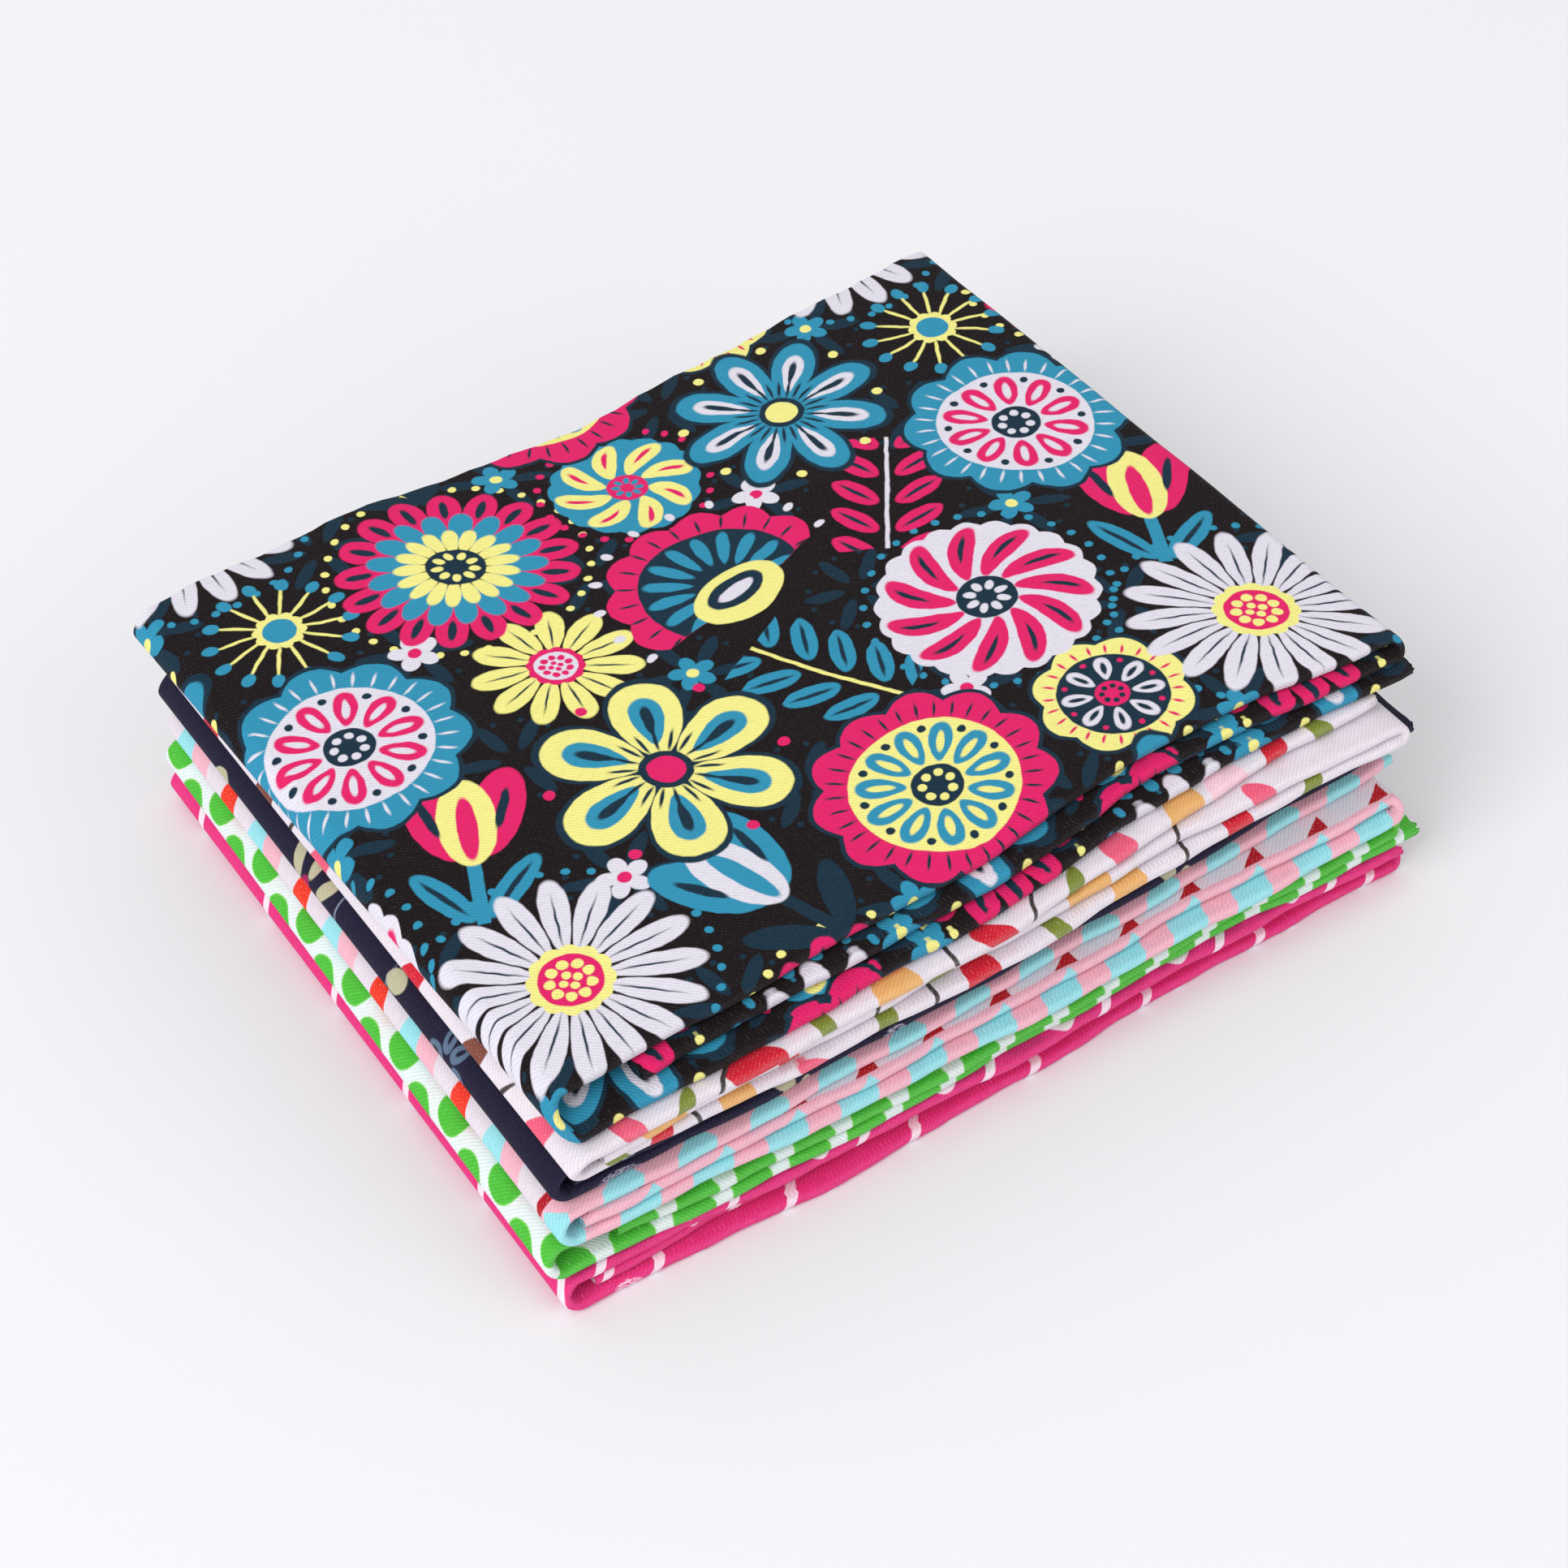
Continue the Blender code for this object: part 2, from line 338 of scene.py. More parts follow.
class Screens:
    softEdge = 0.22  # how far an ink bleeds, in millimetres

    def __init__(self, name, ground, origin=(0.0, 0.0), wobble=0.18):
        self.material = bpy.data.materials.new(name)
        self.material.use_nodes = True
        self.tree = self.material.node_tree
        self.laid = 0
        cloth = self.node("ShaderNodeUVMap", uv_map="flatCloth").outputs["UV"]
        self.threads = self.vector("MULTIPLY", cloth, (1000.0, 1000.0, 1000.0))
        noise = self.node("ShaderNodeTexNoise", noise_dimensions="2D")
        self.feed(noise.inputs["Vector"], self.threads)
        noise.inputs["Scale"].default_value = 0.35
        noise.inputs["Detail"].default_value = 1.0
        drift = self.vector("MULTIPLY_ADD", noise.outputs["Color"], (2 * wobble,) * 3, (-wobble,) * 3)
        here = self.vector("SUBTRACT", self.threads, (*origin, 0.0))
        self.flat = self.vector("ADD", here, drift)
        self.color = ground

    def node(self, kind, **settings):
        made = self.tree.nodes.new(kind)
        made.location = (200 * (self.laid % 30) - 6200, -200 * (self.laid // 30))
        self.laid += 1
        for key, value in settings.items():
            setattr(made, key, value)
        return made

    def feed(self, slot, value):
        if isinstance(value, bpy.types.NodeSocket):
            self.tree.links.new(value, slot)
        else:
            slot.default_value = value

    def math(self, operation, *values, clamp=False):
        made = self.node("ShaderNodeMath", operation=operation, use_clamp=clamp)
        for slot, value in zip(made.inputs, values):
            self.feed(slot, value)
        return made.outputs[0]

    def vector(self, operation, *values):
        made = self.node("ShaderNodeVectorMath", operation=operation)
        for slot, value in zip(made.inputs, values):
            self.feed(slot, value)
        return made.outputs["Value" if operation == "LENGTH" else "Vector"]

    def pair(self, x, y):
        made = self.node("ShaderNodeCombineXYZ")
        self.feed(made.inputs[0], x)
        self.feed(made.inputs[1], y)
        return made.outputs[0]

    def split(self, vector):
        made = self.node("ShaderNodeSeparateXYZ")
        self.feed(made.inputs[0], vector)
        return made.outputs[0], made.outputs[1]

    def mix(self, share, under, over):
        made = self.node("ShaderNodeMix", data_type="RGBA")
        self.feed(made.inputs[0], share)
        self.feed(made.inputs[6], under)
        self.feed(made.inputs[7], over)
        return made.outputs[2]

    def lay(self, mask, over):
        self.color = self.mix(mask, self.color, over)

    def spot(self, at, repeat=None, turn=0.0, angle=True):
        # where a point lies from a motif's middle
        local = self.vector("SUBTRACT", self.flat, (*at, 0.0))
        if repeat:
            half = (repeat[0] / 2, repeat[1] / 2, 1.0)
            local = self.vector("WRAP", local, half, tuple(-side for side in half))
        if turn:
            turned = self.node("ShaderNodeVectorRotate", rotation_type="Z_AXIS")
            self.feed(turned.inputs["Vector"], local)
            turned.inputs["Angle"].default_value = math.radians(-turn)
            local = turned.outputs[0]
        found = {"vector": local}
        found["x"], found["y"] = self.split(local)
        if angle:
            found["r"] = self.vector("LENGTH", local)
            found["turns"] = self.math("DIVIDE", self.math("ARCTAN2", found["y"], found["x"]), 2 * math.pi)
        return found

    def inside(self, distance, edge, scale=1.0):
        soft = self.softEdge * scale
        return self.math("MULTIPLY_ADD", distance, -1 / soft, edge / soft + 0.5, clamp=True)

    def both(self, first, second):
        return self.math("MULTIPLY", first, second)

    def disc(self, spot, radius):
        return self.inside(spot["r"], radius)

    def band(self, spot, radius, half):
        return self.inside(self.math("ABSOLUTE", self.math("SUBTRACT", spot["r"], radius)), half)

    def scallops(self, spot, radius, count, depth, phase=0.0):
        wave = self.math("COSINE", self.math("MULTIPLY_ADD", spot["turns"], math.pi * count, phase * math.pi))
        bumps = self.math("ABSOLUTE", wave)
        return self.inside(self.math("MULTIPLY_ADD", bumps, -depth, spot["r"]), radius - depth)

    def ring(self, spot, count, middle, reach, width, phase=0.0, taper=0.0):
        # petals, dots or stamens around a middle: reach and width are halves
        step = self.math("WRAP", self.math("MULTIPLY_ADD", spot["turns"], count, phase), 0.5, -0.5)
        if count < 8:
            lean = self.math("MULTIPLY", step, 2 * math.pi / count)
            across = self.math("MULTIPLY", spot["r"], self.math("SINE", lean))
            along = self.math("MULTIPLY_ADD", spot["r"], self.math("COSINE", lean), -middle)
            spread = 1.0
        else:
            across = self.math("MULTIPLY", step, spot["r"])
            along = self.math("SUBTRACT", spot["r"], middle)
            spread = 2 * math.pi / count
        if taper:
            across = self.math("DIVIDE", across, self.math("MULTIPLY_ADD", along, taper / reach, 1.0))
        oval = self.vector("MULTIPLY", self.pair(across, along), (spread / width, 1 / reach, 0.0))
        return self.inside(self.vector("LENGTH", oval), 1.0, 1 / min(width, reach))

    def oval(self, spot, at, reach, width, tilt=0.0):
        local = self.vector("SUBTRACT", spot["vector"], (*at, 0.0))
        if tilt:
            turned = self.node("ShaderNodeVectorRotate", rotation_type="Z_AXIS")
            self.feed(turned.inputs["Vector"], local)
            turned.inputs["Angle"].default_value = math.radians(-tilt)
            local = turned.outputs[0]
        local = self.vector("MULTIPLY", local, (1 / reach, 1 / width, 0.0))
        return self.inside(self.vector("LENGTH", local), 1.0, 1 / min(width, reach))

    def bar(self, value, half):
        return self.inside(self.math("ABSOLUTE", value), half)

    def fray(self, at, reach, width, tilt, shade):
        # bare fibres in a small worn patch
        streaks = self.node("ShaderNodeTexNoise", noise_dimensions="2D")
        self.feed(streaks.inputs["Vector"], self.vector("MULTIPLY", self.threads, (0.9, 3.4, 0.0)))
        streaks.inputs["Scale"].default_value = 1.0
        streaks.inputs["Detail"].default_value = 3.0
        patch = self.oval(self.spot(at, None, tilt, False), (0.0, 0.0), reach, width)
        fibres = self.math("MULTIPLY_ADD", streaks.outputs["Fac"], 7.0, -2.9, clamp=True)
        self.lay(self.both(patch, fibres), shade)


# The cotton under every print: a fine weave, thread by thread unevenness and ink that wears on the folds
cotton = {"thread": 0.42, "weaveDepth": 0.06, "slub": 0.09, "fleck": 0.10, "roughness": 0.88, "sheen": 0.03, "specular": 0.15, "worn": 0.12}


def finishCotton(screens, paleThreads, speckle):
    thread = math.pi / cotton["thread"]
    u, v = screens.split(screens.vector("MULTIPLY", screens.threads, (thread, thread, 0.0)))
    warp = screens.math("SINE", u)
    weft = screens.math("SINE", v)
    twill = screens.math("SINE", screens.math("ADD", u, v))
    weave = screens.math("MULTIPLY_ADD", screens.math("MULTIPLY", warp, weft), 0.4, screens.math("MULTIPLY", twill, 0.6))
    slub = screens.node("ShaderNodeTexNoise", noise_dimensions="2D")
    screens.feed(slub.inputs["Vector"], screens.vector("MULTIPLY", screens.threads, (0.5, 2.2, 0.0)))
    slub.inputs["Scale"].default_value = 1.0
    slub.inputs["Detail"].default_value = 3.0
    fleck = screens.node("ShaderNodeTexNoise", noise_dimensions="2D")
    screens.feed(fleck.inputs["Vector"], screens.threads)
    fleck.inputs["Scale"].default_value = 2.9
    fleck.inputs["Detail"].default_value = 1.0
    # bare thread tops show through the ink, most of all along a fold
    tops = screens.math("MULTIPLY_ADD", weave, 0.22, fleck.outputs["Fac"])
    bare = screens.math("MULTIPLY_ADD", tops, 5.0, -3.3, clamp=True)
    screens.lay(screens.math("MULTIPLY", bare, speckle), paleThreads)
    wear = screens.node("ShaderNodeAttribute", attribute_name="foldWear")
    worn = screens.math("MULTIPLY", wear.outputs["Fac"], slub.outputs["Fac"])
    screens.lay(screens.math("MULTIPLY", worn, cotton["worn"]), paleThreads)
    tone = screens.math("MULTIPLY_ADD", slub.outputs["Fac"], 2 * cotton["slub"], 1 - cotton["slub"])
    tone = screens.math("MULTIPLY_ADD", weave, cotton["fleck"], tone)
    shaded = screens.vector("SCALE", screens.color)
    screens.feed(shaded.node.inputs["Scale"], tone)
    shader = screens.tree.nodes["Principled BSDF"]
    screens.feed(shader.inputs["Base Color"], shaded)
    rough = screens.math("MULTIPLY_ADD", fleck.outputs["Fac"], 0.16, cotton["roughness"] - 0.08)
    screens.feed(shader.inputs["Roughness"], rough)
    shader.inputs["Sheen Weight"].default_value = cotton["sheen"]
    shader.inputs["Sheen Roughness"].default_value = 0.5
    shader.inputs["Specular IOR Level"].default_value = cotton["specular"]
    height = screens.math("MULTIPLY_ADD", slub.outputs["Fac"], 1.2, weave)
    bump = screens.node("ShaderNodeBump")
    bump.inputs["Strength"].default_value = 0.6
    bump.inputs["Distance"].default_value = cotton["weaveDepth"] * mm
    screens.feed(bump.inputs["Height"], height)
    screens.feed(shader.inputs["Normal"], bump.outputs["Normal"])
    shader.location = (300, 0)
    screens.tree.nodes["Material Output"].location = (600, 0)
    return screens.material


# Dark floral, on top: flowers and leaves of our own on near black, in a 140 by 132 mm repeat
darkFloral = {
    "order": 5, "lead": "bottom", "pocket": 13.0, "leadTip": 173.0, "turnTip": 173.5,
    "left": 0.0, "leftSkew": -0.5, "rightSkew": -3.0, "back": (137.0, 137.3, 132.8, 134.8, 136.8),
    "top": (7.3, 7.3, 7.9, 11.0, 6.2), "middle": (4.6, 4.7, 4.2, 8.0, 3.7), "bottom": (2.0, 1.0, 1.3, 4.7, 2.6),
    "repeat": (140.0, 132.0),
    "ground": ink(20, 12, 14), "magenta": ink(222, 30, 102), "teal": ink(46, 142, 176),
    "yellow": ink(238, 232, 138), "lilac": ink(220, 216, 228), "petrol": ink(17, 45, 62),
}


def printDarkFloral(cut):
    screens = Screens("dark_floral_cotton", cut["ground"], (alongCut(cut, "top", 0.0), foldLine))
    magenta, teal, yellow = cut["magenta"], cut["teal"], cut["yellow"]
    lilac, petrol = cut["lilac"], cut["petrol"]
    tile = cut["repeat"]

    def sprays():
        # small petrol leaves that fill the ground between the flowers
        spot = screens.spot((35.0, 32.0), (35.0, 33.0), 38)
        screens.lay(screens.ring(spot, 6, 6.4, 3.9, 1.3), petrol)
        screens.lay(screens.ring(spot, 12, 9.4, 0.55, 0.55, 0.5), petrol)

    def mini(at, repeat, radius, petal, eye):
        spot = screens.spot(at, repeat, 10)
        screens.lay(screens.ring(spot, 5, 0.58 * radius, 0.44 * radius, 0.33 * radius), petal)
        screens.lay(screens.disc(spot, 0.26 * radius), eye)

    def daisy(at, radius, petals, petal, vein, eye, seeds, turn=0.0):
        spot = screens.spot(at, tile, turn)
        width = 0.56 * math.pi * radius / petals
        screens.lay(screens.ring(spot, petals, 0.63 * radius, 0.38 * radius, width, 0.0, 0.35), petal)
        screens.lay(screens.ring(spot, petals, 0.58 * radius, 0.22 * radius, 0.22), vein)
        screens.lay(screens.scallops(spot, 0.34 * radius, 12, 0.03 * radius), eye)
        screens.lay(screens.disc(spot, 0.25 * radius), seeds)
        screens.lay(screens.ring(spot, 9, 0.16 * radius, 0.045 * radius, 0.045 * radius), eye)
        screens.lay(screens.ring(spot, 4, 0.06 * radius, 0.035 * radius, 0.035 * radius), eye)

    def rosette(at, radius, lobes, rim, stitch, field, petal, heart, turn=0.0):
        spot = screens.spot(at, tile, turn)
        screens.lay(screens.scallops(spot, radius + 0.9, lobes, 0.12 * radius), petrol)
        screens.lay(screens.scallops(spot, radius, lobes, 0.12 * radius), rim)
        screens.lay(screens.ring(spot, 3 * lobes, 0.80 * radius, 0.075 * radius, 0.28), stitch)
        screens.lay(screens.disc(spot, 0.70 * radius), field)
        screens.lay(screens.ring(spot, lobes, 0.45 * radius, 0.20 * radius, 0.10 * radius, 0.5, 0.35), petal)
        screens.lay(screens.ring(spot, lobes, 0.45 * radius, 0.11 * radius, 0.035 * radius, 0.5), field)
        screens.lay(screens.ring(spot, lobes, 0.60 * radius, 0.038 * radius, 0.038 * radius), heart)
        screens.lay(screens.disc(spot, 0.22 * radius), heart)
        screens.lay(screens.ring(spot, 7, 0.13 * radius, 0.04 * radius, 0.04 * radius), field)

    def blossom(at, radius, petals, petal, blush, eye, turn=0.0):
        spot = screens.spot(at, tile, turn)
        width = 0.86 * math.pi * 0.60 * radius / petals
        screens.lay(screens.ring(spot, petals, 0.58 * radius, 0.45 * radius + 0.8, width + 0.8, 0.0, 0.25), petrol)
        screens.lay(screens.ring(spot, petals, 0.58 * radius, 0.42 * radius, width, 0.0, 0.25), petal)
        screens.lay(screens.ring(spot, petals, 0.56 * radius, 0.27 * radius, 0.46 * width, 0.0, 0.4), blush)
        screens.lay(screens.ring(spot, petals, 0.56 * radius, 0.17 * radius, 0.16 * width, 0.0, 0.4), petrol)
        screens.lay(screens.ring(spot, 3 * petals, 0.33 * radius, 0.11 * radius, 0.016 * radius), petrol)
        screens.lay(screens.ring(spot, petals, 0.93 * radius, 0.05 * radius, 0.05 * radius, 0.5), eye)
        screens.lay(screens.disc(spot, 0.21 * radius), petrol)
        screens.lay(screens.disc(spot, 0.15 * radius), eye)

    def dahlia(at, radius, petals, outer, middle, inner, heart, turn=0.0):
        spot = screens.spot(at, tile, turn)
        width = math.pi * radius / petals
        screens.lay(screens.ring(spot, petals, 0.74 * radius, 0.27 * radius, 0.72 * width, 0.0, 0.3), outer)
        screens.lay(screens.ring(spot, petals, 0.80 * radius, 0.12 * radius, 0.20 * width), heart)
        screens.lay(screens.ring(spot, petals, 0.52 * radius, 0.22 * radius, 0.50 * width, 0.5, 0.3), middle)
        screens.lay(screens.ring(spot, petals, 0.35 * radius, 0.16 * radius, 0.34 * width, 0.0, 0.3), inner)
        screens.lay(screens.disc(spot, 0.24 * radius), heart)
        screens.lay(screens.ring(spot, 9, 0.15 * radius, 0.05 * radius, 0.035 * radius), inner)

    def pinwheel(at, radius, blades, blade, field, heart, turn=0.0):
        spot = screens.spot(at, tile, turn)
        twisted = dict(spot)
        twisted["turns"] = screens.math("MULTIPLY_ADD", spot["r"], 0.10 / radius, spot["turns"])
        screens.lay(screens.scallops(spot, radius, 2 * blades, 0.05 * radius), field)
        width = 1.35 * radius / blades
        screens.lay(screens.ring(twisted, blades, 0.60 * radius, 0.33 * radius, width, 0.0, 0.35), blade)
        screens.lay(screens.ring(twisted, blades, 0.66 * radius, 0.16 * radius, 0.22 * width, 0.0, 0.35), heart)
        screens.lay(screens.disc(spot, 0.27 * radius), heart)
        screens.lay(screens.ring(spot, 8, 0.15 * radius, 0.06 * radius, 0.04 * radius), field)

    def fan(at, radius, cup, fringe, vein, drop, turn=0.0):
        spot = screens.spot(at, tile, turn)
        upper = screens.inside(screens.math("MULTIPLY", spot["y"], -1.0), 0.22 * radius)
        drops = screens.ring(spot, 18, 1.07 * radius, 0.055 * radius, 0.04 * radius, 0.5)
        screens.lay(screens.both(upper, drops), drop)
        screens.lay(screens.both(upper, screens.scallops(spot, radius, 12, 0.10 * radius)), fringe)
        screens.lay(screens.both(upper, screens.ring(spot, 24, 0.82 * radius, 0.08 * radius, 0.30)), petrol)
        screens.lay(screens.both(upper, screens.disc(spot, 0.72 * radius)), petrol)
        screens.lay(screens.both(upper, screens.ring(spot, 16, 0.48 * radius, 0.20 * radius, 0.06 * radius, 0.0, 0.3)), vein)
        screens.lay(screens.oval(spot, (0.0, -0.17 * radius), 0.46 * radius, 0.30 * radius), cup)
        screens.lay(screens.oval(spot, (0.0, -0.12 * radius), 0.30 * radius, 0.16 * radius), petrol)
        screens.lay(screens.oval(spot, (0.0, -0.12 * radius), 0.20 * radius, 0.07 * radius), drop)

    def tulip(at, height, petal, lining, leaf, turn=0.0):
        spot = screens.spot(at, tile, turn, False)
        stem = screens.bar(spot["x"], 0.04 * height)
        below = screens.bar(screens.math("ADD", spot["y"], 0.38 * height), 0.26 * height)
        screens.lay(screens.both(stem, below), leaf)
        fold = screens.pair(screens.math("ABSOLUTE", spot["x"]), spot["y"])
        half = {"vector": fold}
        screens.lay(screens.oval(half, (0.20 * height, -0.40 * height), 0.26 * height, 0.085 * height, 52), leaf)
        screens.lay(screens.oval(half, (0.20 * height, -0.40 * height), 0.18 * height, 0.018 * height, 52), petrol)
        screens.lay(screens.oval(half, (0.17 * height, 0.18 * height), 0.35 * height, 0.16 * height, 72), petal)
        screens.lay(screens.oval(spot, (0.0, 0.13 * height), 0.34 * height, 0.17 * height, 90), lining)
        screens.lay(screens.oval(spot, (0.0, 0.08 * height), 0.25 * height, 0.06 * height, 90), petal)
        screens.lay(screens.oval(half, (0.21 * height, 0.20 * height), 0.16 * height, 0.03 * height, 74), petrol)

    def sprig(at, height, stalk, leaf, turn=0.0):
        spot = screens.spot(at, tile, turn, False)
        inReach = screens.bar(spot["y"], 0.5 * height)
        screens.lay(screens.both(inReach, screens.bar(spot["x"], 0.4)), stalk)
        along = screens.math("WRAP", spot["y"], 0.125 * height, -0.125 * height)
        pair = {"vector": screens.pair(screens.math("ABSOLUTE", spot["x"]), along)}
        leaves = screens.oval(pair, (0.19 * height, 0.01 * height), 0.17 * height, 0.075 * height, 38)
        screens.lay(screens.both(inReach, leaves), leaf)
        veins = screens.oval(pair, (0.19 * height, 0.01 * height), 0.12 * height, 0.014 * height, 38)
        screens.lay(screens.both(inReach, veins), petrol)

    def seedHead(at, radius, seed, tuft, turn=0.0):
        spot = screens.spot(at, tile, turn)
        screens.lay(screens.ring(spot, 14, 0.55 * radius, 0.32 * radius, 0.35), tuft)
        screens.lay(screens.ring(spot, 14, 0.89 * radius, 0.11 * radius, 0.085 * radius), seed)
        screens.lay(screens.scallops(spot, 0.34 * radius, 10, 0.05 * radius), tuft)
        screens.lay(screens.disc(spot, 0.22 * radius), seed)

    def halo(at, radius, count, shade):
        spot = screens.spot(at, tile)
        screens.lay(screens.ring(spot, count, radius, 0.75, 0.75), shade)

    sprays()
    halo((16.5, 18.5), 23.4, 36, teal)
    halo((52.0, 113.0), 22.8, 34, yellow)
    halo((121.5, 48.0), 22.4, 32, teal)
    halo((88.0, 116.5), 15.8, 24, magenta)
    mini((35.0, 32.0), (70.0, 66.0), 4.6, lilac, magenta)
    mini((0.0, 65.5), (70.0, 66.0), 4.2, teal, yellow)
    seedHead((19.0, 116.5), 14.0, teal, yellow, 9)
    sprig((88.5, 51.5), 31.0, yellow, teal, 28)
    sprig((124.0, 82.5), 31.0, lilac, magenta, -35)
    tulip((51.0, 18.0), 30.0, teal, lilac, petrol, 18)
    tulip((19.5, 54.0), 29.0, magenta, yellow, teal, -24)
    rosette((124.0, 14.5), 14.0, 8, yellow, magenta, petrol, lilac, magenta)
    daisy((52.5, 80.5), 14.5, 11, yellow, petrol, magenta, lilac)
    pinwheel((88.0, 116.5), 14.0, 8, yellow, teal, magenta, 20)
    daisy((16.5, 18.5), 21.5, 16, lilac, petrol, yellow, magenta)
    rosette((87.5, 18.0), 21.5, 11, magenta, petrol, yellow, teal, petrol)
    blossom((54.0, 48.5), 21.5, 6, yellow, teal, magenta, 12)
    pinwheel((121.5, 48.0), 20.5, 11, magenta, lilac, petrol)
    rosette((14.5, 84.5), 20.5, 10, teal, lilac, lilac, magenta, petrol, 10)
    fan((87.0, 82.0), 21.0, yellow, magenta, teal, lilac, 14)
    dahlia((52.0, 113.0), 21.0, 17, magenta, teal, yellow, petrol, 5)
    blossom((122.0, 114.5), 20.5, 8, teal, lilac, yellow)
    return finishCotton(screens, ink(118, 108, 112), 0.15)


# White floral: red petals, olive leaves and orange blocks on a faintly pink ground
whiteFloral = {
    "order": 4, "lead": "top", "pocket": 2.5, "leadTip": 164.8, "turnTip": 168.4, "droop": 0.75,
    "left": -0.3, "leftSkew": 2.8, "rightSkew": 0.0, "back": (135.5, 136.2, 136.0, 135.4, 135.0),
    "top": (-0.6, -1.4, -1.8, 1.8, 2.1), "middle": (0.2, -0.4, -1.1, -1.0, -3.9), "bottom": (0.8, -1.8, -3.6, -2.5, -4.3),
    "repeat": (520.0, 68.0), "ground": ink(226, 217, 226),
    # third, place along the front, way over the fold, half length, half width, tilt, ink
    "motifs": (
        ("top", 11.0, 1.5, 4.6, 1.9, 60, "rose"), ("top", 20.5, -0.5, 4.4, 1.5, 120, "olive"),
        ("top", 34.0, 1.0, 5.6, 3.6, 20, "red"), ("top", 47.0, 2.0, 5.0, 1.6, 75, "olive"),
        ("top", 61.0, 0.0, 6.4, 4.2, 85, "orange"), ("top", 80.5, 1.0, 4.8, 2.2, 40, "red"),
        ("top", 97.0, -1.0, 5.4, 1.8, 110, "olive"), ("top", 108.0, 2.0, 4.2, 2.8, 70, "rose"),
        ("top", 122.5, 0.5, 6.8, 3.8, 95, "orange"), ("top", 143.0, 1.0, 5.2, 2.4, 100, "red"),
        ("top", 153.0, 0.0, 5.2, 1.7, 60, "olive"), ("middle", 18.0, 0.5, 5.0, 2.2, 20, "orange"),
        ("middle", 41.0, 1.0, 4.4, 2.0, 80, "red"), ("middle", 70.0, -1.0, 5.0, 1.5, 150, "olive"),
        ("middle", 101.0, 1.0, 6.0, 4.4, 95, "orange"), ("middle", 138.0, 0.0, 4.6, 2.2, 60, "rose"),
        ("bottom", 8.5, 0.0, 4.2, 1.4, 45, "olive"), ("bottom", 16.0, 0.5, 4.6, 1.8, 115, "red"),
        ("bottom", 30.0, -0.5, 5.6, 3.0, 80, "orange"), ("bottom", 44.5, 1.0, 4.4, 1.6, 30, "rose"),
        ("bottom", 58.0, 0.0, 5.2, 1.8, 100, "olive"), ("bottom", 76.5, 1.0, 6.0, 3.4, 85, "red"),
        ("bottom", 92.0, -1.0, 4.6, 1.5, 60, "olive"), ("bottom", 107.0, 1.5, 6.4, 3.6, 100, "orange"),
        ("bottom", 131.0, 0.5, 5.4, 2.8, 80, "red"), ("bottom", 146.0, 1.0, 4.8, 1.9, 120, "olive"),
    ),
    "stems": (
        ("top", 27.0, 26), ("top", 72.0, -12), ("top", 88.0, 16), ("middle", 58.0, 18), ("middle", 120.0, 12),
        ("bottom", 23.0, -14), ("bottom", 67.0, 14), ("bottom", 119.0, 20),
    ),
    # back along the round end: way back, half width, ink
    "endMarks": ((12.0, 2.8, "rose"), (22.0, 0.5, "stem"), (31.0, 2.8, "brown"), (50.0, 2.8, "red")),
    "inks": {
        "red": ink(206, 32, 52), "orange": ink(228, 172, 104), "olive": ink(124, 136, 52),
        "rose": ink(232, 92, 122), "brown": ink(126, 70, 58), "stem": ink(62, 56, 54),
        "blush": ink(242, 200, 212),
    },
}


def printWhiteFloral(cut):
    screens = Screens("white_floral_cotton", cut["ground"], (0.0, foldLine))
    repeat, inks = cut["repeat"], cut["inks"]
    blush = screens.spot((alongCut(cut, "top", 132.0), 0.0), repeat, 0, False)
    screens.lay(screens.oval(blush, (0.0, 0.0), 5.5, 4.0, 75), inks["blush"])
    for third, x, over, reach, width, tilt, shade in cut["motifs"]:
        spot = screens.spot((alongCut(cut, third, x), over), repeat, tilt, False)
        screens.lay(screens.oval(spot, (0.0, 0.0), reach, width), inks[shade])
    for third, x, lean in cut["stems"]:
        spot = screens.spot((alongCut(cut, third, x), 0.0), repeat, lean, False)
        bow = screens.math("MULTIPLY_ADD", screens.math("MULTIPLY", spot["y"], spot["y"]), 0.04, spot["x"])
        screens.lay(screens.both(screens.bar(bow, 0.42), screens.bar(spot["y"], 9.0)), inks["stem"])
    leftEnd = alongCut(cut, cut["lead"], cut["left"])
    for over, width, shade in cut["endMarks"]:
        spot = screens.spot((leftEnd + 3.0, over), repeat, 25, False)
        screens.lay(screens.oval(spot, (0.0, 0.0), 7.0, width), inks[shade])
    return finishCotton(screens, ink(250, 246, 248), 0.12)


